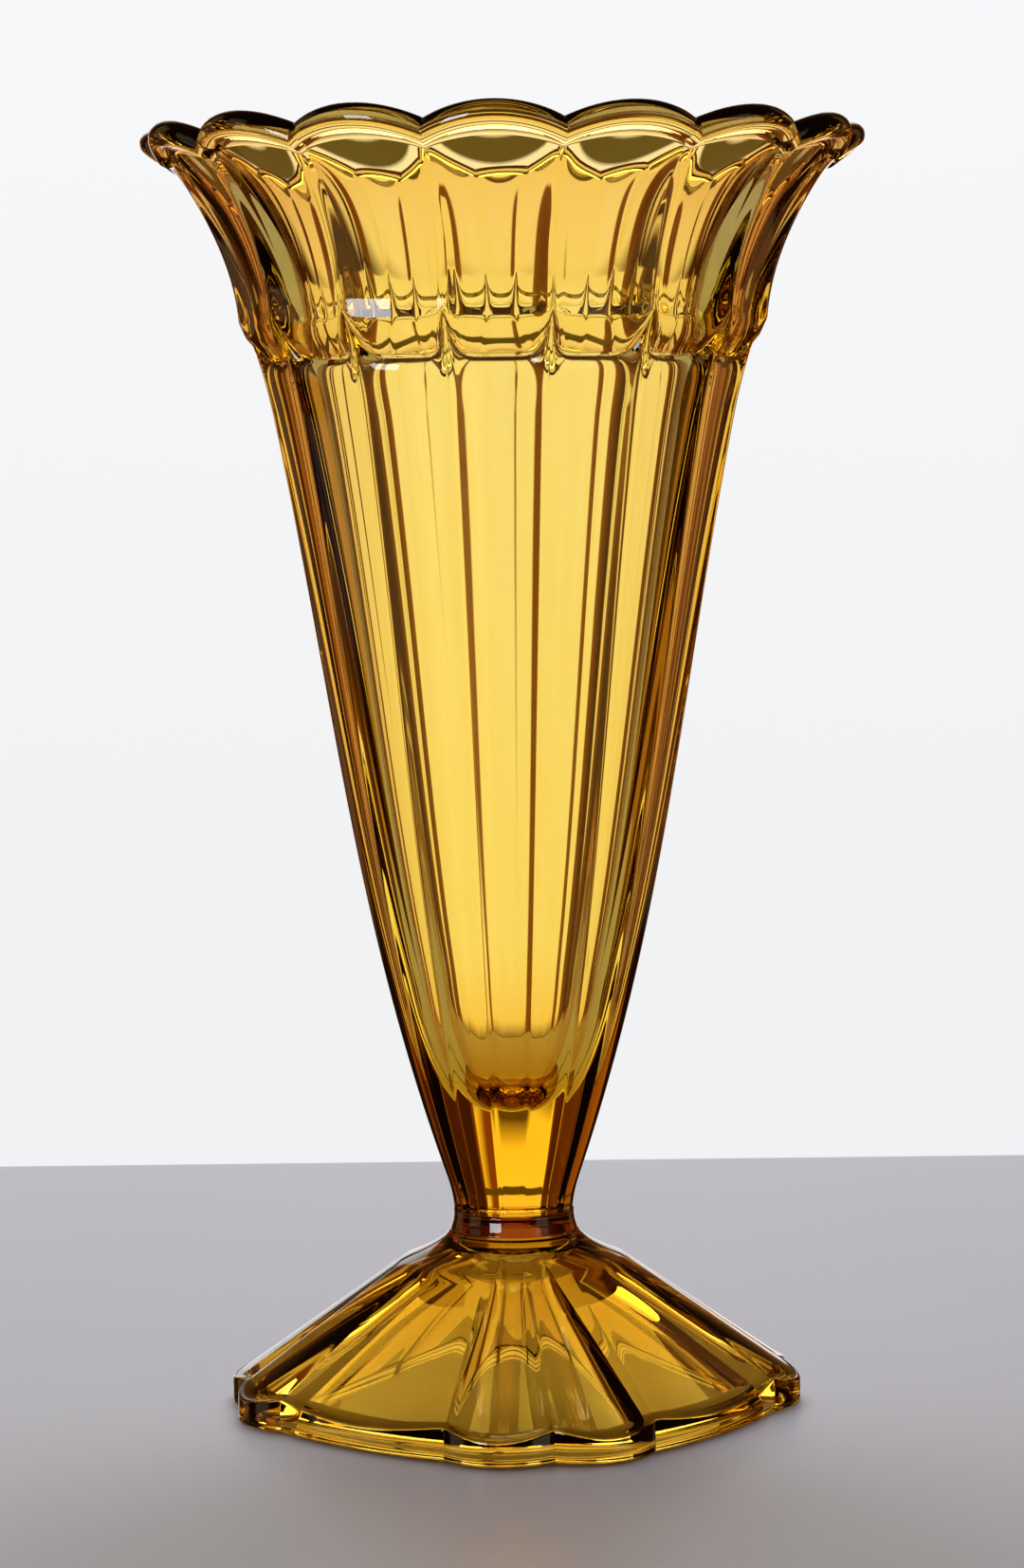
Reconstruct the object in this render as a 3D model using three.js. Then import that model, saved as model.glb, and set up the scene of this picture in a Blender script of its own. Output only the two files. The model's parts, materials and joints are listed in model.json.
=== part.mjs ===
// Footed trumpet vase of pressed amber glass.
// Millimetres, +Z up. The origin is the centre of the circle that the foot rests on.
// A fluted bowl with a flared, scalloped lip and a solid stem stands on a hollow bell foot,
// and a small wafer of glass joins the two at the neck.
import * as THREE from 'three';

// Heights, stacked from the table upward
const FOOT_HEIGHT = 33.2;
const WAFER_THICKNESS = 3.8;
const NECK_LENGTH = 6.4;
const BODY_LENGTH = 143.6;
const SHOULDER_RISE = 17.9;
const COLLAR_HEIGHT = 35.1;

// Flutes round the bowl
const FLUTES = 16;
const STEPS_PER_FLUTE = 6;
const RIDGE_CREST = 0.14;

// Lip: a round bead along the edge of the flared collar, swelling into a lobe above each flute
const LIP_RADIUS = 67.4;
const BEAD_DIAMETER = 4.8;
const LOBE_REACH = 2.9;
const LOBE_RISE = 2.8;
const BEAD_START = THREE.MathUtils.degToRad(-110);
const BEAD_END = THREE.MathUtils.degToRad(150);

// Collar: hollow flutes that rise from the shoulder edge, then sweep out and swell into the lobes
const SHOULDER_RADIUS = 49.7;
const COLLAR_SCOOP = 1.8;
const COLLAR_LOWER_PULL = [1, 10.3];
const COLLAR_UPPER_PULL = [5.3, 8];
const LOBE_ONSET = 7;

// Plain band between the flutes of the body and those of the collar, with raised corners on the ridges
const BAND_DROP = 7.5;
const BAND_SQUARENESS = 8;
const BAND_EDGE_HEIGHT = 0.6;
const BAND_EDGE_STEP = 0.4;
const BAND_TOP_DROP = 1;
const BAND_TOP_FADE = 6;
const FLUTE_END_SCOOP = 1.1;

// Tapering body
const BODY_TOP_RADIUS = 43.5;
const BODY_SCOOP = 1.3;
const BODY_UPPER_PULL = [11, 55];
const BODY_LOWER_PULL = [17.3, 50];
const SHOULDER_LOWER_PULL = [1.5, 7.05];
const SHOULDER_UPPER_PULL = [2.4, 3.6];
const STEM_RADIUS = 12.7;
const STEM_SCOOP = 0.25;

// Cavity: a smooth flare inside the collar, and an even wall down to a rounded floor
const FLARE_LOWER_PULL = [4.8, 24];
const FLARE_UPPER_PULL = [12.5, 16];
const FLARE_ONSET = 5;
const WALL = 6.8;
const BASE_WALL = 8.4;
const SOLID_STEM_LENGTH = 20.9;
const CAVITY_ROUND_HEIGHT = 24;
const FLOOR_FULLNESS = 0.7;

// Neck and joining wafer
const NECK_RADIUS = 11.4;
const NECK_WAIST = 2.6;
const WAFER_FOOT_RADIUS = 12.1;
const WAFER_WAIST = 1.5;

// Foot: pairs of narrow lobes at four corners, with a wide panel between each two pairs
const FOOT_TURN = THREE.MathUtils.degToRad(-2.5);
const FOOT_CORNERS = 4;
const FOOT_LOBE_RADIUS = 54.1;
const FOOT_PAIR_NOTCH_RADIUS = 51.2;
const FOOT_NOTCH_RADIUS = 50.2;
const FOOT_PANEL_RADIUS = 48.8;
const FOOT_EDGE_HEIGHT = 6.2;
const FOOT_DISH = 1.4;
const FOOT_EDGE_ROUND = 0.8;
const CONE_TOP_RADIUS = 21.5;
const CONE_TOP_DROP = 6;
const CONE_FILLET_PULL = [1, 2.6];
const FOOT_RING_WIDTH = 5.5;
const HOLLOW_EDGE_HEIGHT = 1.8;
const HOLLOW_TOP_RADIUS = 8;
const FOOT_CROWN_THICKNESS = 6.6;

// Stations along each stretch of a profile
const NECK_STEPS = 2;
const BODY_STEPS = 9;
const SHOULDER_STEPS = 4;
const COLLAR_STEPS = 7;
const BEAD_OUTSIDE_STEPS = 4;
const BEAD_TOP_STEPS = 2;
const FLARE_STEPS = 8;
const FLOOR_STEPS = 4;
const WAFER_STEPS = 4;
const CONE_STEPS = 4;
const FILLET_STEPS = 4;
const HOLLOW_STEPS = 3;

const TURN = 2 * Math.PI;
const QUARTER = Math.PI / 2;
const SEGMENTS = FLUTES * STEPS_PER_FLUTE;
const FLUTE_ANGLE = TURN / FLUTES;

const neckHeight = FOOT_HEIGHT + WAFER_THICKNESS;
const stemHeight = neckHeight + NECK_LENGTH;
const bodyTopHeight = stemHeight + BODY_LENGTH;
const shoulderHeight = bodyTopHeight + SHOULDER_RISE;
const lipHeight = shoulderHeight + COLLAR_HEIGHT;
const cavityFloorHeight = neckHeight + SOLID_STEM_LENGTH;
const beadRadius = BEAD_DIAMETER / 2;

const lerp = THREE.MathUtils.lerp;
const point = (radius, height) => new THREE.Vector2(radius, height);
const quadratic = (...points) => new THREE.QuadraticBezierCurve(...points);

// Rising curve, pulled out and up from its lower end and in and down from its upper end
const pulled = (start, lower, upper, end) => new THREE.CubicBezierCurve(
  start,
  point(start.x + lower[0], start.y + lower[1]),
  point(end.x - upper[0], end.y - upper[1]),
  end,
);

// How full a panel is at a place across it, which is -1 and 1 on its two ridges
const bow = (across) => 1 - across ** 2;
const squareBow = (across) => 1 - across ** BAND_SQUARENESS;

// How deep a flute between rounded ridges is at a place across it
function flute(across) {
  const place = Math.abs(across);
  const hollow = 1 - RIDGE_CREST;
  return place < hollow ? 1 - place ** 2 / hollow : (1 - place) ** 2 / RIDGE_CREST;
}

// Place across its flute of each step round the bowl; the steps lie closer together toward the ridges
const acrossAt = (step) => Math.sin(QUARTER * ((2 * (step % STEPS_PER_FLUTE)) / STEPS_PER_FLUTE - 1));
const angleAt = (step) => (Math.floor(step / STEPS_PER_FLUTE) + (acrossAt(step) + 1) / 2) * FLUTE_ANGLE;

// A station of the bowl on a ridge, with the relief that it has between ridges
const plain = (radius, height) => ({
  radius, height, scoop: 0, reach: 0, lift: 0, drop: 0, lean: 0,
});

// Stations along a curve, each with the relief that its share of the way gives
function along(curve, steps, relief = () => ({})) {
  return curve.getPoints(steps).map((p, i) => ({ ...plain(p.x, p.y), ...relief(i / steps) }));
}

// Turns a profile about Z. relief(step, station) gives the radius and height of a station at a step round.
function revolve(stations, relief) {
  const outline = stations.map((s) => point(s.radius, s.height));
  const geometry = new THREE.LatheGeometry(outline, SEGMENTS);
  const position = geometry.attributes.position;
  for (let i = 0; i < position.count; i += 1) {
    const step = Math.floor(i / stations.length);
    const angle = angleAt(step);
    const [radius, height] = relief(step, stations[i % stations.length]);
    position.setXYZ(i, radius * Math.sin(angle), height, radius * Math.cos(angle));
  }
  geometry.rotateX(QUARTER);
  geometry.computeVertexNormals();
  return geometry;
}

// Flutes are scooped out between ridges, the band hangs down in them, and lobes swell out and up from them
function fluted(step, station) {
  const across = acrossAt(step);
  const hang = station.drop * squareBow(across);
  const inward = station.scoop * flute(across) + station.lean * hang - station.reach * bow(across);
  return [station.radius - inward, station.height + station.lift * bow(across) - hang];
}

// Outer wall of the bowl from the neck up to the lower edge of the band
function bodyStations() {
  const neckTop = point(STEM_RADIUS, stemHeight);
  const bodyTop = point(BODY_TOP_RADIUS, bodyTopHeight);
  const bandEdge = point(SHOULDER_RADIUS - BAND_EDGE_STEP, shoulderHeight - BAND_EDGE_HEIGHT);
  const neck = quadratic(
    point(NECK_RADIUS, neckHeight),
    point(NECK_RADIUS, neckHeight + NECK_WAIST),
    neckTop,
  );
  const body = pulled(neckTop, BODY_LOWER_PULL, BODY_UPPER_PULL, bodyTop);
  const shoulder = pulled(bodyTop, SHOULDER_LOWER_PULL, SHOULDER_UPPER_PULL, bandEdge);
  const shoulderRelief = (t) => {
    const tangent = shoulder.getTangent(t);
    return { scoop: lerp(BODY_SCOOP, FLUTE_END_SCOOP, t), drop: BAND_DROP * t, lean: tangent.x / tangent.y };
  };
  return [
    ...along(neck, NECK_STEPS, () => ({ scoop: STEM_SCOOP })).slice(0, -1),
    ...along(body, BODY_STEPS, (t) => ({ scoop: lerp(STEM_SCOOP, BODY_SCOOP, t) })).slice(0, -1),
    ...along(shoulder, SHOULDER_STEPS, shoulderRelief),
  ];
}

// Collar and bead up the outside, and the flare down the inside to the top of the body
function collarStations() {
  const bead = point(LIP_RADIUS - LOBE_REACH - beadRadius, lipHeight - LOBE_RISE - beadRadius);
  const beadArc = (from, to) => new THREE.EllipseCurve(
    bead.x, bead.y, beadRadius, beadRadius, from, to, false,
  );
  const beadOutside = beadArc(BEAD_START, QUARTER);
  const beadTop = beadArc(QUARTER, BEAD_END);
  const collar = pulled(
    point(SHOULDER_RADIUS, shoulderHeight),
    COLLAR_LOWER_PULL,
    COLLAR_UPPER_PULL,
    beadOutside.getPoint(0),
  );
  const flare = pulled(
    point(BODY_TOP_RADIUS - WALL, bodyTopHeight),
    FLARE_LOWER_PULL,
    FLARE_UPPER_PULL,
    beadTop.getPoint(1),
  );
  const lobed = (grown) => ({ reach: LOBE_REACH * grown, lift: LOBE_RISE * grown });
  const collarRelief = (t) => ({
    ...lobed(t ** LOBE_ONSET),
    scoop: COLLAR_SCOOP * (1 - t ** LOBE_ONSET),
    drop: BAND_TOP_DROP * (1 - t) ** BAND_TOP_FADE,
  });
  return [
    ...along(collar, COLLAR_STEPS, collarRelief),
    ...along(beadOutside, BEAD_OUTSIDE_STEPS, () => lobed(1)).slice(1),
    ...along(beadTop, BEAD_TOP_STEPS, () => lobed(1)).slice(1),
    ...along(flare, FLARE_STEPS, (t) => lobed(t ** FLARE_ONSET)).reverse().slice(1),
  ];
}

// Smooth round cavity from the top of the body down to its rounded floor; its wall thickens on the way down
function cavityStations(outside) {
  const roundTop = cavityFloorHeight + CAVITY_ROUND_HEIGHT;
  const above = outside.findIndex((s) => s.height > roundTop);
  const [low, high] = outside.slice(above - 1, above + 1);
  const rimShare = (roundTop - low.height) / (high.height - low.height);
  const rim = point(lerp(low.radius, high.radius, rimShare) - BASE_WALL, roundTop);
  const wallAt = (height) => lerp(BASE_WALL, WALL, (height - roundTop) / (bodyTopHeight - roundTop));
  const wall = outside
    .slice(above)
    .filter((s) => s.height < bodyTopHeight)
    .reverse()
    .map((s) => plain(s.radius - wallAt(s.height), s.height));
  const floor = quadratic(
    rim,
    point(rim.x * FLOOR_FULLNESS, cavityFloorHeight),
    point(0, cavityFloorHeight),
  );
  return [...wall, ...along(floor, FLOOR_STEPS)];
}

function bowlGeometry() {
  const outside = bodyStations();
  return revolve(
    [plain(0, neckHeight), ...outside, ...collarStations(), ...cavityStations(outside)],
    fluted,
  );
}

// The wafer widens from the neck to the top of the foot in a shallow waist
function waferGeometry() {
  const waist = quadratic(
    point(WAFER_FOOT_RADIUS, FOOT_HEIGHT),
    point(NECK_RADIUS, FOOT_HEIGHT + WAFER_WAIST),
    point(NECK_RADIUS, neckHeight),
  );
  return revolve([plain(0, FOOT_HEIGHT), ...along(waist, WAFER_STEPS), plain(0, neckHeight)], fluted);
}

// Edge radius of the foot and the place across its panel, at a step round.
// Ridges stand on every flute line except the four that fall in the middle of a wide panel.
function footPlan(step) {
  const corner = TURN / FOOT_CORNERS;
  const fromCorner = THREE.MathUtils.euclideanModulo(angleAt(step) + corner / 2, corner) - corner / 2;
  const offset = Math.abs(fromCorner);
  if (offset <= FLUTE_ANGLE) {
    const across = (2 * offset) / FLUTE_ANGLE - 1;
    const notch = across < 0 ? FOOT_PAIR_NOTCH_RADIUS : FOOT_NOTCH_RADIUS;
    return { across, edge: lerp(notch, FOOT_LOBE_RADIUS, bow(across)) };
  }
  const across = (corner / 2 - offset) / (corner / 2 - FLUTE_ANGLE);
  return { across, edge: lerp(FOOT_NOTCH_RADIUS, FOOT_PANEL_RADIUS, bow(across)) };
}

// Stations of the foot are given on the lobe radius. Their share of the plan's waves is how far out they are.
function scalloped(step, station) {
  const { across, edge } = footPlan(step);
  const radius = station.radius + station.share * (edge - FOOT_LOBE_RADIUS);
  return [radius, station.height - station.dish * flute(across)];
}

function footGeometry() {
  const station = (radius, height, share = 0, dish = 0) => ({ radius, height, share, dish });
  const shares = (steps) => Array.from({ length: steps + 1 }, (_, i) => i / steps);
  const edgeInset = FOOT_LOBE_RADIUS - FOOT_EDGE_ROUND;
  const coneTopHeight = FOOT_HEIGHT - CONE_TOP_DROP;
  const crownHeight = FOOT_HEIGHT - FOOT_CROWN_THICKNESS;
  const hollowEdge = FOOT_LOBE_RADIUS - FOOT_RING_WIDTH;
  const fillet = quadratic(
    point(CONE_TOP_RADIUS, coneTopHeight),
    point(WAFER_FOOT_RADIUS + CONE_FILLET_PULL[0], FOOT_HEIGHT - CONE_FILLET_PULL[1]),
    point(WAFER_FOOT_RADIUS, FOOT_HEIGHT),
  );
  const hollow = shares(HOLLOW_STEPS).map((out) => station(
    lerp(HOLLOW_TOP_RADIUS, hollowEdge - FOOT_EDGE_ROUND, out),
    lerp(crownHeight - FOOT_EDGE_ROUND, HOLLOW_EDGE_HEIGHT, out),
    out,
  ));
  const cone = shares(CONE_STEPS).reverse().map((out) => station(
    lerp(CONE_TOP_RADIUS, edgeInset, out),
    lerp(coneTopHeight, FOOT_EDGE_HEIGHT, out),
    out,
    FOOT_DISH * out,
  ));
  const neck = fillet.getPoints(FILLET_STEPS).slice(1).map((p) => station(p.x, p.y));
  const geometry = revolve([
    station(0, crownHeight),
    station(HOLLOW_TOP_RADIUS - FOOT_EDGE_ROUND, crownHeight),
    ...hollow,
    station(hollowEdge, 0, 1),
    station(edgeInset, 0, 1),
    station(FOOT_LOBE_RADIUS, FOOT_EDGE_ROUND, 1),
    station(FOOT_LOBE_RADIUS, FOOT_EDGE_HEIGHT - FOOT_EDGE_ROUND, 1, FOOT_DISH),
    ...cone,
    ...neck,
    station(0, FOOT_HEIGHT),
  ], scalloped);
  geometry.rotateZ(FOOT_TURN);
  return geometry;
}

// One glass for all three pieces; the wafer looks darker because the light crosses more of it
const glass = (colour) => new THREE.MeshStandardMaterial({ color: colour, roughness: 0.05, metalness: 0 });

function piece(name, geometry, colour) {
  const mesh = new THREE.Mesh(geometry, glass(colour));
  mesh.name = name;
  return mesh;
}

const vase = new THREE.Group();
vase.add(piece('trumpet_bowl', bowlGeometry(), 0xd9a520));
vase.add(piece('joining_wafer', waferGeometry(), 0x8a4a10));
vase.add(piece('foot', footGeometry(), 0xa87f14));

export default vase;
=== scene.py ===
"""Footed trumpet vase of pressed amber glass, dressed in the frame of its CAD model.

The bowl, the joining wafer and the foot are three closed bodies of glass. Each one is turned about Z
from a profile in millimetres and waved round the axis by its own flutes or scallops. The frame is in
metres with +Z up, and the origin is the centre of the circle that the foot rests on.
"""

from __future__ import annotations

import json
import logging
import math
from dataclasses import astuple, dataclass
from enum import Enum
from typing import Any, Callable, Sequence

import bmesh
import bpy
import numpy as np
from mathutils import Matrix

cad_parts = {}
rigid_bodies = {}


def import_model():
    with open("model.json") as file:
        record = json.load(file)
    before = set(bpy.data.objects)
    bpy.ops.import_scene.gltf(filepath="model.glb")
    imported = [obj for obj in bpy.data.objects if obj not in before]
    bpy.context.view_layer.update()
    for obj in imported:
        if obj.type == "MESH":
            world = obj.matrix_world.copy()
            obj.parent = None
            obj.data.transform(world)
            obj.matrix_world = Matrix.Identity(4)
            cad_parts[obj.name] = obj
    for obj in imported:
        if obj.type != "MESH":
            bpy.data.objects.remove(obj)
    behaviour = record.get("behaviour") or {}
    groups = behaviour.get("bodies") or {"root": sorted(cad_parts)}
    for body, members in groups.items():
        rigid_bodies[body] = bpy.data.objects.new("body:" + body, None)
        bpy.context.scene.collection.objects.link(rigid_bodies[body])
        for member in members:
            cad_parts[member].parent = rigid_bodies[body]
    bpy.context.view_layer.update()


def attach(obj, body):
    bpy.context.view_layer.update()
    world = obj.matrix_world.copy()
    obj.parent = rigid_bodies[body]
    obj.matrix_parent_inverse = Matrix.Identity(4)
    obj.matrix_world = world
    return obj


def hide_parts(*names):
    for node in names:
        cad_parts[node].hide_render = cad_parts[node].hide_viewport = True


LOG = logging.getLogger("trumpet_vase")
MM = 0.001
TURN = 2.0 * math.pi
QUARTER = math.pi / 2.0
FLUTES = 16
FLUTE_ANGLE = TURN / FLUTES
FLATNESS = 8
ROUNDING = 1e-9

# Sockets of the Mix node when it mixes colours. Their names repeat, so they go by number.
MIX_SHARE = 0
MIX_FIRST = 6
MIX_SECOND = 7
MIX_RESULT = 2

Colour = tuple[float, float, float, float]
Point = tuple[float, float]
Array = np.ndarray


class Slot(Enum):
    """Material slots of the record. Each piece carries one, but nothing reads it."""

    BOWL = "bowl_glass"
    WAFER = "wafer_glass"
    FOOT = "foot_glass"


class Node(Enum):
    """CAD nodes that the pieces stand for."""

    BOWL = "trumpet_bowl"
    WAFER = "joining_wafer"
    FOOT = "foot"


def linear(code: str, alpha: float = 1.0) -> Colour:
    """Turns an sRGB hex colour into linear light.

    Args:
        code: Six hex digits after a hash sign.
        alpha: Opacity that goes with the colour.

    Returns:
        Red, green, blue and alpha, from 0 to 1.
    """
    shares = [int(code[i : i + 2], 16) / 255.0 for i in (1, 3, 5)]
    red, green, blue = (s / 12.92 if s <= 0.04045 else ((s + 0.055) / 1.055) ** 2.4 for s in shares)
    return red, green, blue, alpha


def add_node(
    tree: bpy.types.NodeTree,
    kind: str,
    settings: dict[str, Any] | None = None,
    values: dict[str | int, Any] | None = None,
    links: dict[str | int, bpy.types.NodeSocket] | None = None,
) -> bpy.types.Node:
    """Adds one shader node with its settings, socket values and incoming links.

    Args:
        tree: Node tree that takes the node.
        kind: Type name of the node.
        settings: Properties of the node itself.
        values: Input sockets, by name or number, and the constants that they take.
        links: Input sockets, by name or number, and the outputs that feed them.

    Returns:
        The new node.
    """
    node = tree.nodes.new(kind)
    for name, value in (settings or {}).items():
        setattr(node, name, value)
    for socket, value in (values or {}).items():
        node.inputs[socket].default_value = value
    for socket, source in (links or {}).items():
        tree.links.new(source, node.inputs[socket])
    return node


def lerp(start: Any, end: Any, share: Any) -> Any:
    """Blends from start to end by a share of the way."""
    return start + (end - start) * share


def bow(across: Array) -> Array:
    """How full a panel is at a place across it, which is -1 and 1 on its two ridges."""
    return 1.0 - across**2


def flat_bow(across: Array) -> Array:
    """How full a panel with a flat middle is at a place across it."""
    return 1.0 - across**FLATNESS


def flute(across: Array, crest: float) -> Array:
    """How deep a flute between rounded ridges is at a place across it.

    Args:
        across: Places across the flute, -1 and 1 on its two ridges.
        crest: Share of each half that the rounded ridge takes.

    Returns:
        Shares of the full depth.
    """
    place = np.abs(across)
    return np.where(place < 1.0 - crest, 1.0 - place**2 / (1.0 - crest), (1.0 - place) ** 2 / crest)


def bezier(points: Sequence[Point], steps: int) -> list[Point]:
    """Samples a quadratic or cubic Bezier curve.

    Args:
        points: Its three or four control points.
        steps: How many equal steps of its parameter to take.

    Returns:
        The points from its start to its end.
    """
    degree = len(points) - 1
    share = np.linspace(0.0, 1.0, steps + 1)
    weights = [math.comb(degree, k) * share**k * (1.0 - share) ** (degree - k) for k in range(degree + 1)]
    sampled = sum(w[:, None] * np.array(p, float) for w, p in zip(weights, points))
    return [(float(x), float(z)) for x, z in sampled]


def pulled(start: Point, lower: Point, upper: Point, end: Point, steps: int) -> list[Point]:
    """Samples a rising cubic curve that is pulled away from its two ends.

    Args:
        start: Its lower end.
        lower: How far out and up the curve is pulled from its lower end.
        upper: How far in and down the curve is pulled from its upper end.
        end: Its upper end.
        steps: How many equal steps of its parameter to take.

    Returns:
        The points from its start to its end.
    """
    low = (start[0] + lower[0], start[1] + lower[1])
    high = (end[0] - upper[0], end[1] - upper[1])
    return bezier([start, low, high, end], steps)


def arc(centre: Point, radii: Point, start: float, end: float, steps: int) -> list[Point]:
    """Samples an arc of an ellipse.

    Args:
        centre: Its centre.
        radii: Its radius across and its radius upright.
        start: Angle where it starts, in radians.
        end: Angle where it ends, in radians.
        steps: How many equal steps of angle to take.

    Returns:
        The points from its start to its end.
    """
    angles = np.linspace(start, end, steps + 1)
    return [
        (float(centre[0] + radii[0] * math.cos(a)), float(centre[1] + radii[1] * math.sin(a)))
        for a in angles
    ]


@dataclass(frozen=True)
class Station:
    """One ring of a profile on its ridge, in millimetres, and its relief between ridges."""

    radius: float
    height: float
    scoop: float = 0.0
    lift: float = 0.0
    drop: float = 0.0
    lean: float = 0.0
    reach: float = 0.0
    share: float = 0.0
    dish: float = 0.0


Relief = Callable[[Station], tuple[Array, Array]]
ReliefAlong = Callable[[float], dict[str, float]]


def between(low: Station, high: Station, share: float) -> Station:
    """Station a share of the way from one to another."""
    return Station(*(lerp(a, b, share) for a, b in zip(astuple(low), astuple(high))))


def along(points: Sequence[Point], relief: ReliefAlong | None = None) -> list[Station]:
    """Makes stations of the points of a curve.

    Args:
        points: Points of the curve.
        relief: Gives the relief of a station from its share of the way along.

    Returns:
        One station for each point.
    """
    last = len(points) - 1
    return [Station(x, z, **(relief(i / last) if relief else {})) for i, (x, z) in enumerate(points)]


@dataclass(frozen=True)
class Columns:
    """Places round the axis where a turned body has its vertices, closer together toward the ridges."""

    steps_per_flute: int = 20

    def across(self) -> Array:
        """Place of each column across its flute."""
        step = np.arange(FLUTES * self.steps_per_flute) % self.steps_per_flute
        return np.sin(QUARTER * (2.0 * step / self.steps_per_flute - 1.0))

    def angles(self) -> Array:
        """Angle of each column, from -Y toward +X."""
        number = np.arange(FLUTES * self.steps_per_flute) // self.steps_per_flute
        return (number + (self.across() + 1.0) / 2.0) * FLUTE_ANGLE


def turn(
    name: str,
    stations: Sequence[Station],
    columns: Columns,
    relief: Relief,
    spin: float = 0.0,
) -> bpy.types.Object:
    """Turns a profile that starts and ends on the axis into a closed, smooth body.

    Args:
        name: Name of the new object.
        stations: Rings of the profile from end to end.
        columns: Places round the axis.
        relief: Gives the radius and height of a station at every column, in millimetres.
        spin: Turn of the whole body about the axis, in radians.

    Returns:
        The new object, in the scene.
    """
    angles = columns.angles() + spin
    count = len(angles)
    spots: list[Array] = []
    rings: list[Array] = []
    total = 0
    for station in stations:
        radius, height = relief(station)
        if station.radius == 0.0:
            spots.append(np.array([[0.0, 0.0, station.height]]))
            rings.append(np.full(count, total))
            total += 1
            continue
        spots.append(np.stack([radius * np.sin(angles), -radius * np.cos(angles), height], axis=1))
        rings.append(np.arange(total, total + count))
        total += count
    faces: list[tuple[int, ...]] = []
    for low, high in zip(rings, rings[1:]):
        for a, b, c, d in zip(low, np.roll(low, -1), np.roll(high, -1), high):
            faces.append(tuple(dict.fromkeys((int(a), int(b), int(c), int(d)))))
    mesh = bpy.data.meshes.new(name)
    mesh.from_pydata((np.concatenate(spots) * MM).tolist(), [], faces)
    closed = bmesh.new()
    closed.from_mesh(mesh)
    bmesh.ops.recalc_face_normals(closed, faces=closed.faces)
    closed.to_mesh(mesh)
    closed.free()
    mesh.shade_smooth()
    body = bpy.data.objects.new(name, mesh)
    bpy.context.scene.collection.objects.link(body)
    LOG.info("%s: %d faces", name, len(mesh.polygons))
    return body


@dataclass(frozen=True)
class Depth:
    """Reach of heights over which the glass is thicker than its walls and so strikes a deeper amber."""

    colour: str
    start_mm: float
    full_mm: float

    def tint(
        self, tree: bpy.types.NodeTree, place: bpy.types.NodeSocket, skin: bpy.types.NodeSocket
    ) -> bpy.types.NodeSocket:
        """Tints the glass over these heights.

        Args:
            tree: Node tree of the material.
            place: Position on the piece, in metres.
            skin: Colour of the glass elsewhere.

        Returns:
            Colour output.
        """
        height = add_node(tree, "ShaderNodeSeparateXYZ", links={0: place}).outputs["Z"]
        share = add_node(
            tree,
            "ShaderNodeMapRange",
            values={"From Min": self.start_mm * MM, "From Max": self.full_mm * MM},
            links={"Value": height},
        )
        mix = add_node(
            tree,
            "ShaderNodeMix",
            settings={"data_type": "RGBA"},
            values={MIX_SECOND: linear(self.colour)},
            links={MIX_SHARE: share.outputs["Result"], MIX_FIRST: skin},
        )
        return mix.outputs[MIX_RESULT]


SOLID_STEM = Depth("#FFD768", start_mm=85.0, full_mm=50.0)
BEADED_LIP = Depth("#FDE4A2", start_mm=195.0, full_mm=238.0)
BOWL_DEPTHS = (SOLID_STEM, BEADED_LIP)


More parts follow.
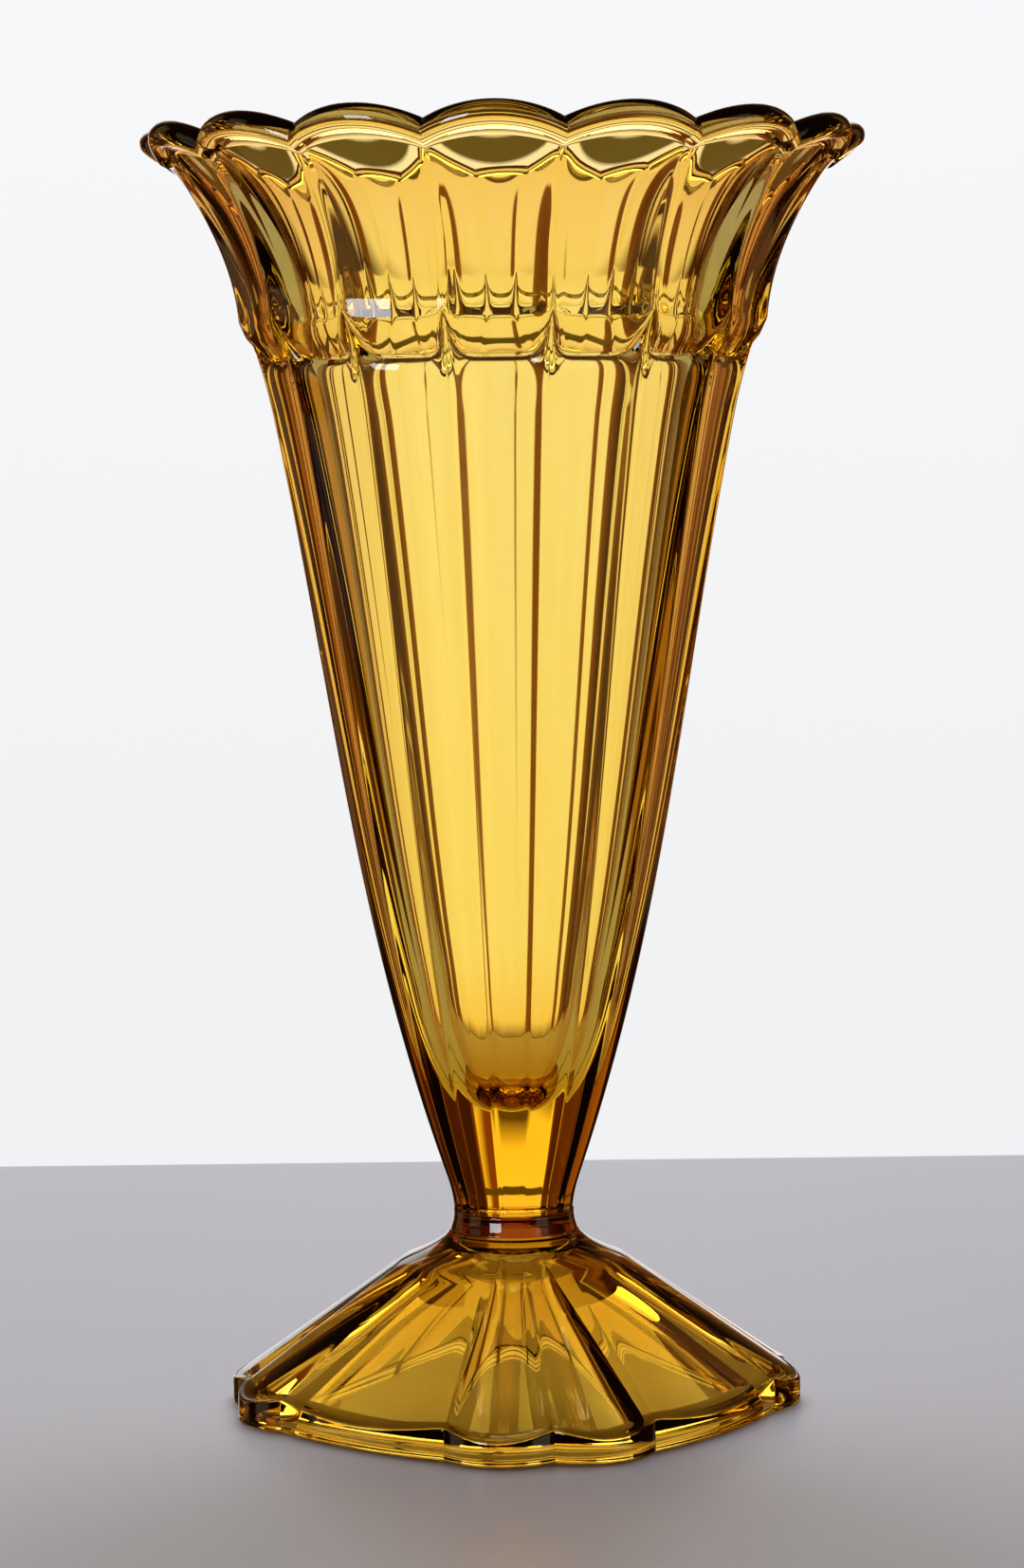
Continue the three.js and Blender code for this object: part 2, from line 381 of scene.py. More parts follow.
@dataclass(frozen=True)
class AmberGlass:
    """Soda-lime glass coloured amber in the melt, pressed in a mould and then fire-polished.

    The colour sits in the body of the glass, so thin walls look straw yellow and thick ones orange brown.
    A slight tint of the skin deepens that in thick places, and a painted shade turns it deeper orange where
    the glass is seen edge-on.
    Fire-polishing melts the skin smooth: it mirrors sharply, yet keeps a faint roll from the mould.
    """

    name: str
    body_colour: str = "#FEF04C"
    density: float = 104.0
    ior: float = 1.52
    roughness: float = 0.0
    skin_colour: str = "#FFFCEE"
    cord_colour: str = "#FDF1CA"
    # Painted shade: a deeper orange laid on where the glass is seen edge-on, in place of the longer path of
    # light there.
    painted_edge_shade_colour: str = "#D26A22"
    edge_shade_blend: float = 0.5
    edge_shade_start: float = 0.3
    edge_shade_full: float = 0.85
    depths: tuple[Depth, ...] = ()
    cord_width_mm: float = 5.0
    cord_length_mm: float = 90.0
    cord_detail: float = 2.0
    roll_width_mm: float = 16.0
    roll_height_mm: float = 0.02
    roll_detail: float = 1.0

    def material(self) -> bpy.types.Material:
        """Makes the glass.

        Returns:
            A material whose colour comes mostly from absorption along the path of the light.
        """
        material = bpy.data.materials.new(self.name)
        material.use_nodes = True
        tree = material.node_tree
        shader = tree.nodes["Principled BSDF"]
        shader.inputs["IOR"].default_value = self.ior
        shader.inputs["Roughness"].default_value = self.roughness
        shader.inputs["Transmission Weight"].default_value = 1.0
        place = add_node(tree, "ShaderNodeTexCoord").outputs["Object"]
        skin = self.cords(tree, place)
        for depth in self.depths:
            skin = depth.tint(tree, place, skin)
        tree.links.new(self.paint_edge_shade(tree, skin), shader.inputs["Base Color"])
        tree.links.new(self.roll(tree, place), shader.inputs["Normal"])
        absorption = add_node(
            tree,
            "ShaderNodeVolumeAbsorption",
            values={"Color": linear(self.body_colour), "Density": self.density},
        )
        tree.links.new(absorption.outputs["Volume"], tree.nodes["Material Output"].inputs["Volume"])
        return material

    def cords(self, tree: bpy.types.NodeTree, place: bpy.types.NodeSocket) -> bpy.types.NodeSocket:
        """Draws out faint upright streaks, where the melt was not quite even.

        Args:
            tree: Node tree of the material.
            place: Position on the piece, in metres.

        Returns:
            Colour output.
        """
        stretch = self.cord_width_mm / self.cord_length_mm
        drawn = add_node(
            tree, "ShaderNodeMapping", values={"Scale": (1.0, 1.0, stretch)}, links={"Vector": place}
        )
        noise = add_node(
            tree,
            "ShaderNodeTexNoise",
            values={"Scale": 1.0 / (self.cord_width_mm * MM), "Detail": self.cord_detail},
            links={"Vector": drawn.outputs["Vector"]},
        )
        mix = add_node(
            tree,
            "ShaderNodeMix",
            settings={"data_type": "RGBA"},
            values={MIX_FIRST: linear(self.skin_colour), MIX_SECOND: linear(self.cord_colour)},
            links={MIX_SHARE: noise.outputs["Fac"]},
        )
        return mix.outputs[MIX_RESULT]

    def paint_edge_shade(self, tree: bpy.types.NodeTree, skin: bpy.types.NodeSocket) -> bpy.types.NodeSocket:
        """Paints shade into the colour where the glass is seen edge-on, in place of the longer path of the
        light there.

        Args:
            tree: Node tree of the material.
            skin: Colour of the glass seen straight on.

        Returns:
            Colour output.
        """
        # Painted edge shade: the more edge-on the view, the more the colour turns to the deeper orange.
        slant = add_node(tree, "ShaderNodeLayerWeight", values={"Blend": self.edge_shade_blend})
        share = add_node(
            tree,
            "ShaderNodeMapRange",
            values={"From Min": self.edge_shade_start, "From Max": self.edge_shade_full},
            links={"Value": slant.outputs["Facing"]},
        )
        mix = add_node(
            tree,
            "ShaderNodeMix",
            settings={"data_type": "RGBA"},
            values={MIX_SECOND: linear(self.painted_edge_shade_colour)},
            links={MIX_SHARE: share.outputs["Result"], MIX_FIRST: skin},
        )
        return mix.outputs[MIX_RESULT]

    def roll(self, tree: bpy.types.NodeTree, place: bpy.types.NodeSocket) -> bpy.types.NodeSocket:
        """Gives the skin the slow roll that the mould leaves.

        Args:
            tree: Node tree of the material.
            place: Position on the piece, in metres.

        Returns:
            Normal output.
        """
        noise = add_node(
            tree,
            "ShaderNodeTexNoise",
            values={"Scale": 1.0 / (self.roll_width_mm * MM), "Detail": self.roll_detail},
            links={"Vector": place},
        )
        bump = add_node(
            tree,
            "ShaderNodeBump",
            values={"Strength": 1.0, "Distance": self.roll_height_mm * MM},
            links={"Height": noise.outputs["Fac"]},
        )
        return bump.outputs["Normal"]


@dataclass(frozen=True)
class Piece:
    """What every sub-assembly shares: its glass and its place in the frame."""

    node: Node
    slot: Slot
    glass: AmberGlass

    def dress(self, body: bpy.types.Object) -> bpy.types.Object:
        """Gives a body its glass and ties it to the CAD node that it stands for.

        Args:
            body: The built body.

        Returns:
            The same body.
        """
        body.data.materials.append(self.glass.material())
        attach(body, "root")
        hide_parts(self.node.value)
        LOG.info("%s: dressed in %s", body.name, self.glass.name)
        return body


@dataclass(frozen=True)
class TrumpetBowl(Piece):
    """Fluted bowl with a beaded, scalloped lip and a solid stem. Sizes in millimetres."""

    neck_height: float = 37.0
    stem_height: float = 43.4
    body_top_height: float = 187.0
    shoulder_height: float = 204.9
    lip_height: float = 240.0
    neck_radius: float = 11.4
    neck_waist: float = 2.6
    stem_radius: float = 12.7
    body_top_radius: float = 43.5
    shoulder_radius: float = 49.7
    lip_radius: float = 67.4
    bead_diameter: float = 4.8
    bead_start: float = math.radians(-110.0)
    bead_end: float = math.radians(150.0)
    lobe_reach: float = 2.9
    lobe_rise: float = 2.8
    lobe_onset: float = 7.0
    inside_onset: float = 5.0
    crest: float = 0.14
    stem_scoop: float = 0.25
    body_scoop: float = 1.3
    flute_end_scoop: float = 1.1
    collar_scoop: float = 1.8
    edge_drop: float = 1.0
    edge_onset: float = 6.0
    ledge_drop: float = 7.5
    ledge_edge_height: float = 0.6
    ledge_edge_step: float = 0.4
    body_lower_pull: Point = (17.3, 50.0)
    body_upper_pull: Point = (11.0, 55.0)
    shoulder_lower_pull: Point = (1.5, 7.05)
    shoulder_upper_pull: Point = (2.4, 3.6)
    collar_lower_pull: Point = (1.0, 10.3)
    collar_upper_pull: Point = (5.3, 8.0)
    inside_lower_pull: Point = (4.8, 24.0)
    inside_upper_pull: Point = (12.5, 16.0)
    wall: float = 6.8
    base_wall: float = 8.4
    cavity_floor_height: float = 57.9
    cavity_round_height: float = 24.0
    floor_fullness: float = 0.7
    band_shares: tuple[float, ...] = (0.1, 0.5, 0.9)
    neck_steps: int = 6
    body_steps: int = 56
    shoulder_steps: int = 16
    collar_steps: int = 32
    bead_steps: int = 20
    inside_steps: int = 36
    floor_steps: int = 14
    columns: Columns = Columns(24)

    def build(self) -> bpy.types.Object:
        """Builds and dresses the bowl.

        Returns:
            The bowl.
        """
        outside = self.body_stations()
        stations = [Station(0.0, self.neck_height), *outside, *self.collar_stations(outside[-1])]
        stations += self.cavity_stations(outside)
        return self.dress(turn("bowl", stations, self.columns, self.fluted))

    def fluted(self, station: Station) -> tuple[Array, Array]:
        """Scoops flutes between the ridges, hangs the ledge in them and swells them into lobes.

        Args:
            station: Ring of the profile on a ridge.

        Returns:
            Radius and height at every column.
        """
        across = self.columns.across()
        hang = station.drop * flat_bow(across)
        swell = bow(across)
        inward = station.scoop * flute(across, self.crest) + station.lean * hang - station.reach * swell
        return station.radius - inward, station.height + station.lift * swell - hang

    def body_stations(self) -> list[Station]:
        """Profile of the outside from the neck up to the lower edge of the ledge.

        Returns:
            Stations on a ridge.
        """
        stem = (self.stem_radius, self.stem_height)
        top = (self.body_top_radius, self.body_top_height)
        ledge = (self.shoulder_radius - self.ledge_edge_step, self.shoulder_height - self.ledge_edge_height)
        foot = (self.neck_radius, self.neck_height)
        neck = bezier([foot, (foot[0], foot[1] + self.neck_waist), stem], self.neck_steps)
        body = pulled(stem, self.body_lower_pull, self.body_upper_pull, top, self.body_steps)
        pulls = (self.shoulder_lower_pull, self.shoulder_upper_pull)
        shoulder = pulled(top, *pulls, ledge, self.shoulder_steps)
        steps = np.gradient(np.array(shoulder), axis=0)
        leans = steps[:, 0] / steps[:, 1]
        last = len(shoulder) - 1
        return [
            *along(neck, lambda t: {"scoop": self.stem_scoop})[:-1],
            *along(body, lambda t: {"scoop": lerp(self.stem_scoop, self.body_scoop, t)})[:-1],
            *along(
                shoulder,
                lambda t: {
                    "scoop": lerp(self.body_scoop, self.flute_end_scoop, t),
                    "drop": self.ledge_drop * t,
                    "lean": float(leans[round(t * last)]),
                },
            ),
        ]

    def collar_stations(self, ledge: Station) -> list[Station]:
        """Profile of the band, collar and bead up the outside, and of the flare down the inside.

        Args:
            ledge: Last station of the body, on the lower edge of the band.

        Returns:
            Stations on a ridge, down to the top of the body.
        """
        radius = self.bead_diameter / 2.0
        centre = (self.lip_radius - self.lobe_reach - radius, self.lip_height - self.lobe_rise - radius)
        bead = arc(centre, (radius, radius), self.bead_start, self.bead_end, self.bead_steps)
        edge = (self.shoulder_radius, self.shoulder_height)
        inner = (self.body_top_radius - self.wall, self.body_top_height)
        outer_pulls = (self.collar_lower_pull, self.collar_upper_pull)
        inner_pulls = (self.inside_lower_pull, self.inside_upper_pull)
        outside = pulled(edge, *outer_pulls, bead[0], self.collar_steps)
        inside = pulled(inner, *inner_pulls, bead[-1], self.inside_steps)

        def lobed(share: float, onset: float) -> dict[str, float]:
            """Relief of a lobe at a share of the way up to the bead."""
            return {"reach": self.lobe_reach * share**onset, "lift": self.lobe_rise * share**onset}

        def hollowed(share: float) -> dict[str, float]:
            """Relief of the outside of the collar at a share of the way up."""
            scoop = self.collar_scoop * (1.0 - share**self.lobe_onset)
            drop = self.edge_drop * (1.0 - share) ** self.edge_onset
            return {"scoop": scoop, "drop": drop, **lobed(share, self.lobe_onset)}

        collar = along(outside, hollowed)
        return [
            *(between(ledge, collar[0], share) for share in self.band_shares),
            *collar,
            *along(bead, lambda t: lobed(1.0, 1.0))[1:],
            *along(inside, lambda t: lobed(t, self.inside_onset))[::-1][1:],
        ]

    def cavity_stations(self, outside: Sequence[Station]) -> list[Station]:
        """Profile of the smooth cavity from the top of the body down to its rounded floor.

        Args:
            outside: Stations of the outside below the band.

        Returns:
            Stations that end on the axis.
        """
        bottom = self.cavity_floor_height
        round_top = bottom + self.cavity_round_height
        depth = self.body_top_height - round_top
        body = [s for s in reversed(outside) if round_top < s.height < self.body_top_height]
        wall = [
            Station(s.radius - lerp(self.base_wall, self.wall, (s.height - round_top) / depth), s.height)
            for s in body
        ]
        outer = np.interp(round_top, [s.height for s in outside], [s.radius for s in outside])
        rim = float(outer) - self.base_wall
        middle = (rim * self.floor_fullness, bottom)
        floor = bezier([(rim, round_top), middle, (0.0, bottom)], self.floor_steps)
        return [*wall, *along(floor)]


@dataclass(frozen=True)
class JoiningWafer(Piece):
    """Small disc of glass that was dropped hot between stem and foot. Sizes in millimetres."""

    foot_height: float = 33.2
    neck_height: float = 37.0
    neck_radius: float = 11.4
    foot_radius: float = 12.1
    waist: float = 1.5
    clearance: float = 0.02
    side_steps: int = 10
    columns: Columns = Columns(8)

    def build(self) -> bpy.types.Object:
        """Builds and dresses the wafer, with a hair of clearance from its neighbours.

        Returns:
            The wafer.
        """
        low, high = self.foot_height + self.clearance, self.neck_height - self.clearance
        waist = (self.neck_radius, self.foot_height + self.waist)
        side = bezier([(self.foot_radius, low), waist, (self.neck_radius, high)], self.side_steps)
        stations = [Station(0.0, low), *along(side), Station(0.0, high)]
        return self.dress(turn("wafer", stations, self.columns, self.plain))

    def plain(self, station: Station) -> tuple[Array, Array]:
        """Keeps a station round: its radius and height at every column."""
        even = np.ones_like(self.columns.across())
        return station.radius * even, station.height * even


@dataclass(frozen=True)
class BellFoot(Piece):
    """Hollow bell foot with pairs of lobes at four corners and wide panels between. Sizes in millimetres."""

    height: float = 33.2
    spin: float = math.radians(-2.5)
    corners: int = 4
    lobe_radius: float = 54.1
    pair_notch_radius: float = 51.2
    notch_radius: float = 50.2
    panel_radius: float = 48.8
    edge_height: float = 6.2
    edge_round: float = 0.8
    dish: float = 1.4
    crest: float = 0.14
    top_radius: float = 12.1
    cone_top_radius: float = 21.5
    cone_top_drop: float = 6.0
    fillet_pull: Point = (1.0, 2.6)
    ring_width: float = 5.5
    hollow_edge_height: float = 1.8
    hollow_top_radius: float = 8.0
    crown_thickness: float = 6.6
    round_steps: int = 5
    slope_steps: int = 24
    fillet_steps: int = 10
    columns: Columns = Columns()

    def build(self) -> bpy.types.Object:
        """Builds and dresses the foot.

        Returns:
            The foot.
        """
        stations = [*self.under_stations(), *self.edge_stations(), *self.cone_stations()]
        return self.dress(turn("foot_bell", stations, self.columns, self.scalloped, self.spin))

    def plan(self) -> tuple[Array, Array]:
        """Plan of the foot.

        Returns:
            Place across its panel and edge radius, at every column.
        """
        corner = TURN / self.corners
        offset = np.abs((self.columns.angles() + corner / 2.0) % corner - corner / 2.0)
        near = offset <= FLUTE_ANGLE + ROUNDING
        lobe = 2.0 * offset / FLUTE_ANGLE - 1.0
        panel = (corner / 2.0 - offset) / (corner / 2.0 - FLUTE_ANGLE)
        across = np.where(near, lobe, panel)
        notch = np.where(lobe < 0.0, self.pair_notch_radius, self.notch_radius)
        edge = np.where(
            near,
            lerp(notch, self.lobe_radius, bow(lobe)),
            lerp(self.notch_radius, self.panel_radius, bow(panel)),
        )
        return across, edge

    def scalloped(self, station: Station) -> tuple[Array, Array]:
        """Waves a station after the plan, by its share of the way out.

        Args:
            station: Ring of the profile on the lobe radius.

        Returns:
            Radius and height at every column.
        """
        across, edge = self.plan()
        radius = station.radius + station.share * (edge - self.lobe_radius)
        return radius, station.height - station.dish * flute(across, self.crest)

    def under_stations(self) -> list[Station]:
        """Profile of the hollow underside, from the axis out to the ring that it rests on.

        Returns:
            Stations on the lobe radius.
        """
        crown = self.height - self.crown_thickness
        top, low = self.hollow_top_radius, crown - self.edge_round
        outer = self.lobe_radius - self.ring_width
        brink = outer - self.edge_round
        rounded = bezier([(top - self.edge_round, crown), (top, crown), (top, low)], self.round_steps)
        hollow = [
            Station(lerp(top, brink, t), lerp(low, self.hollow_edge_height, t), share=t)
            for t in np.linspace(0.0, 1.0, self.slope_steps + 1)[1:].tolist()
        ]
        turned_in = (outer - self.edge_round / 2.0, 0.0)
        ring = bezier([(brink, self.hollow_edge_height), turned_in, (outer, 0.0)], self.round_steps)
        return [Station(0.0, crown), *along(rounded), *hollow, *along(ring, lambda t: {"share": 1.0})[1:]]

    def edge_stations(self) -> list[Station]:
        """Profile of the outer edge, from the resting ring up to the top of the edge.

        Returns:
            Stations on the lobe radius.
        """
        inset = self.lobe_radius - self.edge_round
        rim, top = self.lobe_radius, self.edge_height
        low = bezier([(inset, 0.0), (rim, 0.0), (rim, self.edge_round)], self.round_steps)
        high = bezier([(rim, top - self.edge_round), (rim, top), (inset, top)], self.round_steps)
        return [
            *along(low, lambda t: {"share": 1.0}),
            *along(high, lambda t: {"share": 1.0, "dish": self.dish})[:-1],
        ]

    def cone_stations(self) -> list[Station]:
        """Profile of the panelled cone and the fillet up to the wafer.

        Returns:
            Stations that end on the axis.
        """
        inset = self.lobe_radius - self.edge_round
        cone_top = (self.cone_top_radius, self.height - self.cone_top_drop)
        cone = [
            Station(
                lerp(cone_top[0], inset, t),
                lerp(cone_top[1], self.edge_height, t),
                share=t,
                dish=self.dish * t,
            )
            for t in np.linspace(1.0, 0.0, self.slope_steps + 1).tolist()
        ]
        pull = (self.top_radius + self.fillet_pull[0], self.height - self.fillet_pull[1])
        fillet = bezier([cone_top, pull, (self.top_radius, self.height)], self.fillet_steps)
        return [*cone, *along(fillet)[1:], Station(0.0, self.height)]


@dataclass(frozen=True)
class TableTop:
    """Matt grey laminate, sprayed and flatted: it gives a soft, slightly glossy ground for the shadow.

    The flanks of the glass do not mirror it, so they keep the deep amber of a darker ground.
    """

    name: str = "table_grey_laminate"
    colour: str = "#C0C0C7"
    worn_colour: str = "#BCBCC3"
    mottle_mm: float = 60.0
    grain_mm: float = 0.8
    grain_height_mm: float = 0.01
    grain_strength: float = 0.3
    roughness: float = 0.42
    width_m: float = 2.4
    front_edge_m: float = 1.1
    back_edge_m: float = 0.262
    thickness_m: float = 0.03
    mirrored: bool = False

    def material(self) -> bpy.types.Material:
        """Makes the laminate.

        Returns:
            A pale grey material with a faint mottle and grain.
        """
        material = bpy.data.materials.new(self.name)
        material.use_nodes = True
        tree = material.node_tree
        shader = tree.nodes["Principled BSDF"]
        shader.inputs["Roughness"].default_value = self.roughness
        place = add_node(tree, "ShaderNodeTexCoord").outputs["Object"]
        mottle = add_node(
            tree, "ShaderNodeTexNoise", values={"Scale": 1.0 / (self.mottle_mm * MM)}, links={"Vector": place}
        )
        mix = add_node(
            tree,
            "ShaderNodeMix",
            settings={"data_type": "RGBA"},
            values={MIX_FIRST: linear(self.colour), MIX_SECOND: linear(self.worn_colour)},
            links={MIX_SHARE: mottle.outputs["Fac"]},
        )
        grain = add_node(
            tree, "ShaderNodeTexNoise", values={"Scale": 1.0 / (self.grain_mm * MM)}, links={"Vector": place}
        )
        bump = add_node(
            tree,
            "ShaderNodeBump",
            values={"Strength": self.grain_strength, "Distance": self.grain_height_mm * MM},
            links={"Height": grain.outputs["Fac"]},
        )
        tree.links.new(mix.outputs[MIX_RESULT], shader.inputs["Base Color"])
        tree.links.new(bump.outputs["Normal"], shader.inputs["Normal"])
        return material

    def build(self, azimuth: float) -> bpy.types.Object:
        """Lays the table top with its back edge square to the camera.

        Args:
            azimuth: Where the camera stands round the vase, in radians.

        Returns:
            The table top.
        """
        half, front, back = self.width_m / 2.0, -self.front_edge_m, self.back_edge_m
        plan = [(-half, front), (half, front), (half, back), (-half, back)]
        levels = (-self.thickness_m, 0.0)
        corners = [(x, y, z) for z in levels for x, y in plan]
        sides = [(k, (k + 1) % 4, (k + 1) % 4 + 4, k + 4) for k in range(4)]
        mesh = bpy.data.meshes.new("table")
        mesh.from_pydata(corners, [], [(3, 2, 1, 0), (4, 5, 6, 7), *sides])
        mesh.materials.append(self.material())
        table = bpy.data.objects.new("table", mesh)
        table.rotation_euler = (0.0, 0.0, azimuth)
        table.visible_glossy = self.mirrored
        bpy.context.scene.collection.objects.link(table)
        LOG.info("table: laid")
        return table


@dataclass(frozen=True)
class Room:
    """What stands round the table: a lit backdrop that ends in warm half-light, dim panels and a dark rest.

    Angles in degrees. The glass bends the light so far that each edge of the backdrop draws its lines in it.
    The falls say how steeply green and blue give way as the light dims.
    """

    backdrop_colour: str = "#F1F2F4"
    backdrop_top_colour: str = "#F8F8FA"
    backdrop_rise: float = 0.1
    dark_colour: str = "#40240F"
    across_falls: tuple[float, float] = (1.65, 2.7)
    upward_falls: tuple[float, float] = (1.0, 1.6)
    across: tuple[Point, ...] = (
        (-180.0, 0.0),
        (-116.0, 0.0),
        (-112.0, 0.55),
        (-90.0, 0.55),
        (-86.0, 0.0),
        (-70.0, 0.0),
        (-66.0, 0.4),
        (-46.0, 0.4),
        (-42.0, 0.0),
        (-34.0, 0.0),
        (-18.0, 0.22),
        (-16.5, 1.25),
        (11.0, 1.25),
        (12.0, 0.22),
        (28.0, 0.0),
        (36.0, 0.0),
        (39.0, 0.3),
        (50.0, 0.3),
        (54.0, 0.0),
        (110.0, 0.0),
        (114.0, 0.7),
        (136.0, 0.7),
        (140.0, 0.0),
    )
    upward: tuple[Point, ...] = (
        (-90.0, 0.0),
        (-16.0, 0.0),
        (-11.0, 1.1),
        (5.0, 1.1),
        (5.3, 0.09),
        (9.4, 0.09),
        (9.7, 1.25),
        (15.0, 1.15),
        (22.0, 0.5),
        (32.0, 0.25),
        (40.0, 0.0),
    )

    def ramp(
        self,
        tree: bpy.types.NodeTree,
        stops: Sequence[Point],
        full: float,
        angle: bpy.types.NodeSocket,
        falls: tuple[float, float],
    ) -> bpy.types.NodeSocket:
        """Adds a ramp of brightness over an angle.

        Args:
            tree: Node tree of the world.
            stops: Angles in degrees and the brightness at each.
            full: Largest angle either way, in degrees.
            angle: Output that gives the angle, in radians.
            falls: How steeply green and blue fall where the light is dim. 1 keeps it white.

        Returns:
            Colour output.
        """
        limit = math.radians(full)
        share = add_node(
            tree, "ShaderNodeMapRange", values={"From Min": -limit, "From Max": limit}, links={"Value": angle}
        )
        node = add_node(tree, "ShaderNodeValToRGB", links={"Fac": share.outputs["Result"]})
        elements = node.color_ramp.elements
        while len(elements) < len(stops):
            elements.new(0.5)
        for element, (degrees, light) in zip(elements, stops):
            element.position = (degrees + full) / (2.0 * full)
            green, blue = (light * min(light, 1.0) ** (fall - 1.0) for fall in falls)
            element.color = (light, green, blue, 1.0)
        return node.outputs["Color"]

    def build(self, azimuth: float) -> None:
        """Makes the world, with the backdrop behind the vase as the camera sees it.

        Args:
            azimuth: Where the camera stands round the vase, in radians.
        """
        world = bpy.data.worlds.new("studio_room")
        world.use_nodes = True
        tree = world.node_tree
        direction = add_node(tree, "ShaderNodeTexCoord").outputs["Generated"]
        facing = add_node(
            tree,
            "ShaderNodeVectorRotate",
            settings={"rotation_type": "Z_AXIS"},
            values={"Angle": -azimuth},
            links={"Vector": direction},
        )
        parts = add_node(tree, "ShaderNodeSeparateXYZ", links={0: facing.outputs["Vector"]})
        sideways = add_node(
            tree,
            "ShaderNodeMath",
            settings={"operation": "ARCTAN2"},
            links={0: parts.outputs["X"], 1: parts.outputs["Y"]},
        )
        rising = add_node(
            tree, "ShaderNodeMath", settings={"operation": "ARCSINE"}, links={0: parts.outputs["Z"]}
        )
        light = add_node(
            tree,
            "ShaderNodeMix",
            settings={"data_type": "RGBA", "blend_type": "DARKEN"},
            values={MIX_SHARE: 1.0},
            links={
                MIX_FIRST: self.ramp(tree, self.across, 180.0, sideways.outputs["Value"], self.across_falls),
                MIX_SECOND: self.ramp(tree, self.upward, 90.0, rising.outputs["Value"], self.upward_falls),
            },
        )
        seen_in_glass = add_node(
            tree,
            "ShaderNodeMix",
            settings={"data_type": "RGBA", "blend_type": "ADD"},
            values={MIX_SHARE: 1.0, MIX_SECOND: linear(self.dark_colour)},
            links={MIX_FIRST: light.outputs[MIX_RESULT]},
        )
        rise = add_node(
            tree,
            "ShaderNodeMapRange",
            values={"From Min": -self.backdrop_rise, "From Max": self.backdrop_rise},
            links={"Value": parts.outputs["Z"]},
        )
        paper = add_node(
            tree,
            "ShaderNodeMix",
            settings={"data_type": "RGBA"},
            values={MIX_FIRST: linear(self.backdrop_colour), MIX_SECOND: linear(self.backdrop_top_colour)},
            links={MIX_SHARE: rise.outputs["Result"]},
        )
        path = add_node(tree, "ShaderNodeLightPath")
        shown = add_node(
            tree,
            "ShaderNodeMix",
            settings={"data_type": "RGBA"},
            links={
                MIX_SHARE: path.outputs["Is Camera Ray"],
                MIX_FIRST: seen_in_glass.outputs[MIX_RESULT],
                MIX_SECOND: paper.outputs[MIX_RESULT],
            },
        )
        tree.links.new(shown.outputs[MIX_RESULT], tree.nodes["Background"].inputs["Color"])
        bpy.context.scene.world = world
        LOG.info("room: lit")


@dataclass(frozen=True)
class Softbox:
    """Flat studio light that faces the vase. Metres, watts and degrees.

    A mirrored light shows in mirror images on the glass. A lighting one lights the table and shines through.
    """

    name: str
    width: float
    height: float
    power: float
    azimuth: float
    elevation: float
    distance: float
    aim_height: float = 0.1
    colour: str = "#F3F7FF"
    mirrored: bool = True
    lighting: bool = True

    def build(self) -> bpy.types.Object:
        """Hangs the light and turns its face to the vase.

        Returns:
            The light.
        """
        light = bpy.data.lights.new(self.name, "AREA")
        light.shape = "RECTANGLE"
        light.size, light.size_y = self.width, self.height
        light.energy = self.power
        light.color = linear(self.colour)[:3]
        lamp = bpy.data.objects.new(self.name, light)
        lamp.visible_glossy = self.mirrored
        lamp.visible_diffuse = lamp.visible_transmission = self.lighting
        turned = Matrix.Rotation(math.radians(self.azimuth), 4, "Z")
        tipped = Matrix.Rotation(math.radians(90.0 - self.elevation), 4, "X")
        aim = Matrix.Translation((0.0, 0.0, self.aim_height))
        lamp.matrix_world = aim @ turned @ tipped @ Matrix.Translation((0.0, 0.0, self.distance))
        bpy.context.scene.collection.objects.link(lamp)
        LOG.info("%s: hung", self.name)
        return lamp


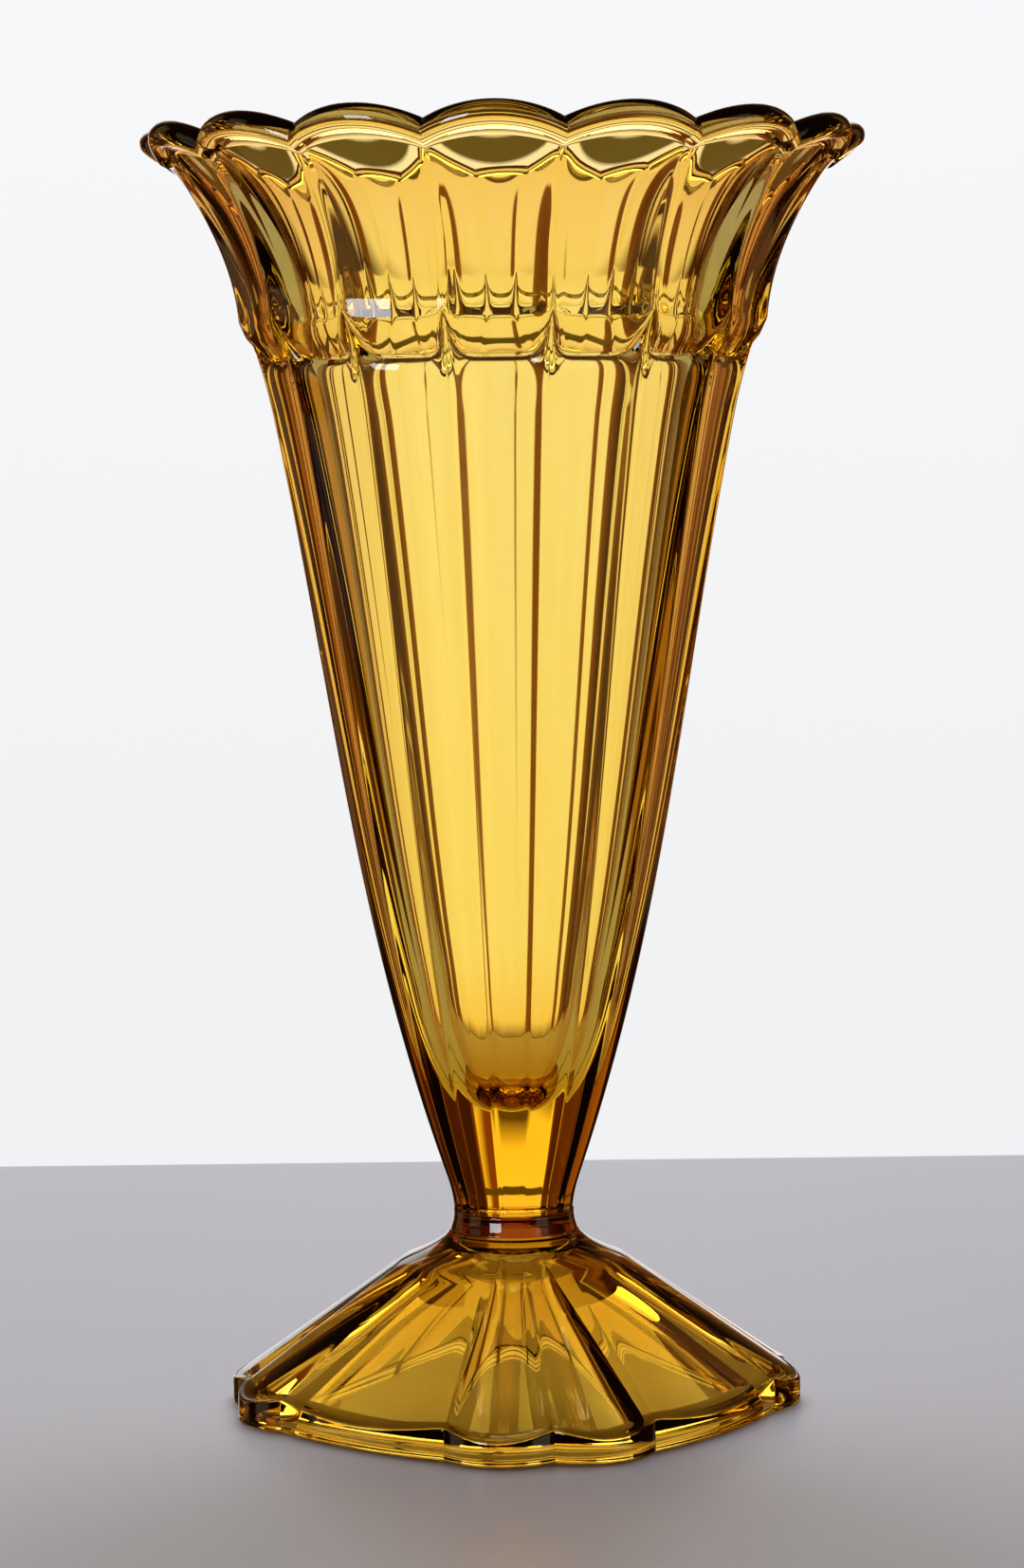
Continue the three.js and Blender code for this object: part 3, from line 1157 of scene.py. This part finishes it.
@dataclass(frozen=True)
class Viewpoint:
    """Camera of the main view. Metres and degrees."""

    azimuth: float = -10.0
    distance: float = 0.774
    height: float = 0.181
    tilt: float = 4.69
    roll: float = 0.65
    lens_mm: float = 94.7
    sensor_mm: float = 36.0
    shift_x: float = 0.0019

    def build(self) -> bpy.types.Object:
        """Sets up the camera and makes it the scene's.

        Returns:
            The camera.
        """
        data = bpy.data.cameras.new("main_view")
        data.sensor_fit = "VERTICAL"
        data.sensor_height = self.sensor_mm
        data.lens = self.lens_mm
        data.shift_x = self.shift_x
        camera = bpy.data.objects.new("main_view", data)
        turned = Matrix.Rotation(math.radians(self.azimuth), 4, "Z")
        tipped = Matrix.Rotation(math.radians(90.0 - self.tilt), 4, "X")
        rolled = Matrix.Rotation(math.radians(-self.roll), 4, "Z")
        moved = Matrix.Translation((0.0, -self.distance, self.height))
        camera.matrix_world = turned @ moved @ tipped @ rolled
        bpy.context.scene.collection.objects.link(camera)
        bpy.context.scene.camera = camera
        LOG.info("camera: set")
        return camera


def main() -> None:
    """Builds the three pieces of glass, the studio round them and the camera."""
    logging.basicConfig(level=logging.INFO, format="%(name)s: %(message)s")
    for leftover in list(bpy.data.objects):
        bpy.data.objects.remove(leftover)
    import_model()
    bowl_glass = AmberGlass("amber_glass_pressed_bowl", depths=BOWL_DEPTHS)
    wafer_glass = AmberGlass("amber_glass_dropped_wafer", body_colour="#E1B23F", density=225.0)
    # The foot's painted edge shade is a paler gold than the bowl's.
    foot_glass = AmberGlass(
        "amber_glass_pressed_foot", body_colour="#F1DE36", density=200.0, painted_edge_shade_colour="#E9C46A"
    )
    TrumpetBowl(Node.BOWL, Slot.BOWL, bowl_glass).build()
    JoiningWafer(Node.WAFER, Slot.WAFER, wafer_glass).build()
    BellFoot(Node.FOOT, Slot.FOOT, foot_glass).build()
    viewpoint = Viewpoint()
    viewpoint.build()
    azimuth = math.radians(viewpoint.azimuth)
    TableTop().build(azimuth)
    Room().build(azimuth)
    Softbox(
        "overhead_softbox",
        width=1.8,
        height=1.4,
        power=38.0,
        azimuth=170.0,
        elevation=54.0,
        distance=1.7,
        mirrored=False,
    ).build()
    Softbox(
        "front_softbox",
        width=0.32,
        height=0.3,
        power=3.0,
        azimuth=-45.0,
        elevation=-2.0,
        distance=0.8,
        aim_height=0.2,
        lighting=False,
    ).build()
    bpy.context.scene.view_settings.view_transform = "Standard"
    bpy.context.view_layer.update()


if __name__ == "__main__":
    main()
